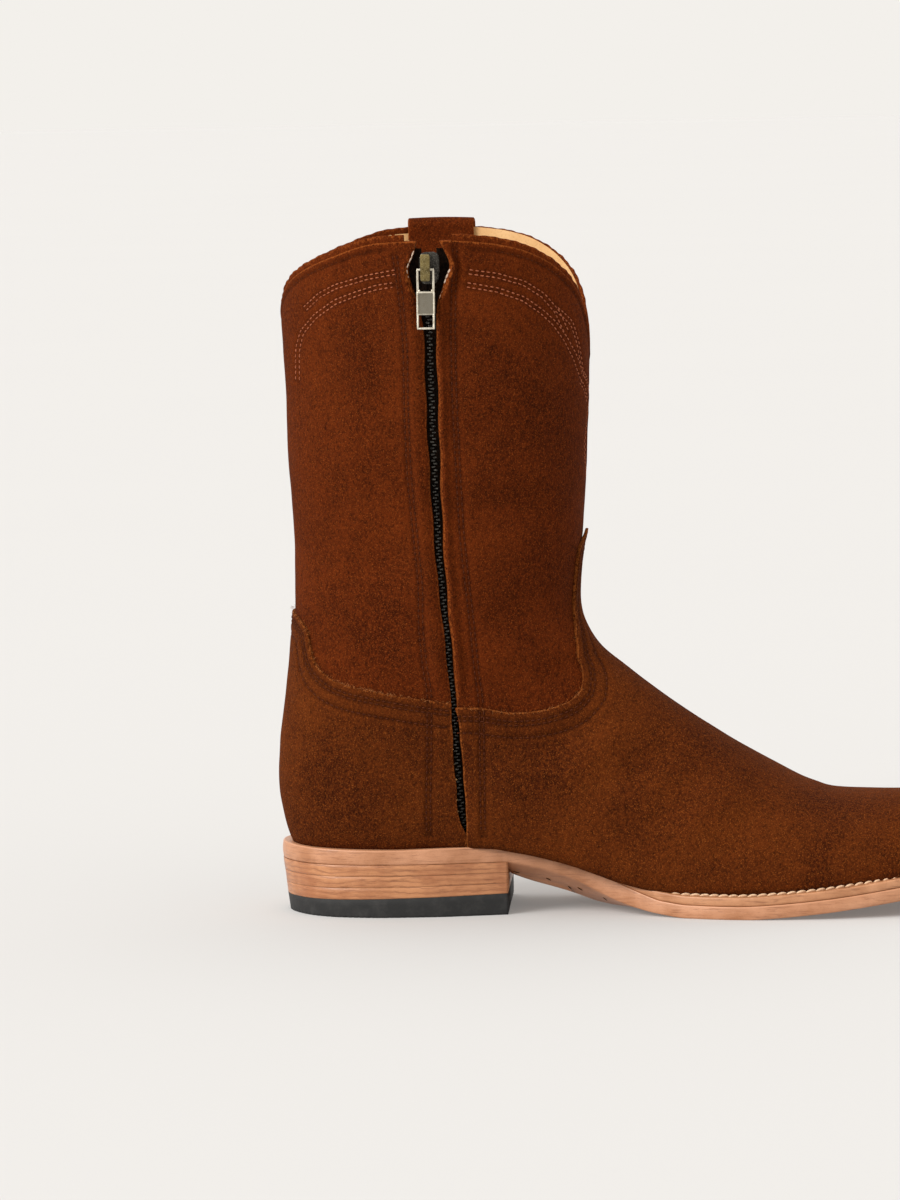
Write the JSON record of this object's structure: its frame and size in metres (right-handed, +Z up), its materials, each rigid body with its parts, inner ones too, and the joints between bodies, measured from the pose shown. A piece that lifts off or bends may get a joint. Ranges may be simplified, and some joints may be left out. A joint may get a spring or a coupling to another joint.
{
  "type": "roper boot",
  "caption": "Left pull-on roper boot in suede with a zip on the inner side, scalloped collar, pull strap, welted leather sole, stacked leather heel and rubber cap.",
  "frame": {"origin": "on the floor under the middle of the heel, on the flat underside of the heel cap", "axes": "+X towards the toe, +Z up along the shaft, -Y to the inner side with the zip, +Y to the outer side"},
  "size_m": [0.307, 0.1171, 0.2786],
  "materials": {
    "shaft_suede": "reddish brown suede with a short nap",
    "vamp_suede": "warm brown suede with a short nap",
    "sole_leather": "tan sole leather, smooth waxed edge",
    "heel_leather": "stacked tan leather, sanded and waxed",
    "lining_leather": "light tan lining leather",
    "heel_rubber": "black matt rubber",
    "zip_metal": "dark antique brass",
    "pull_metal": "worn pale antique metal",
    "zip_fabric": "dark brown woven tape"
  },
  "bodies": {
    "boot": {"outsole": "sole_leather", "insole": "lining_leather", "welt": "sole_leather", "heel_lift_1": "heel_leather", "heel_lift_2": "heel_leather", "heel_lift_3": "heel_leather", "heel_cap": "heel_rubber", "upper": "shaft_suede", "vamp": "vamp_suede", "counter": "vamp_suede", "collar_bead": "shaft_suede", "pull_strap": "shaft_suede", "zip_tape_front": "zip_fabric", "zip_tape_back": "zip_fabric", "zip_chain": "zip_metal", "zip_slider": "zip_metal"},
    "zip_pull": {"zip_pull": "pull_metal"}
  },
  "joints": [
    {"name": "pull_tab_hinge", "type": "hinge", "parent": "boot", "child": "zip_pull", "pos_m": [0.01995, -0.05577, 0.2613], "axis": [-1, 0, 0], "range_deg": [0, 150]}
  ]
}
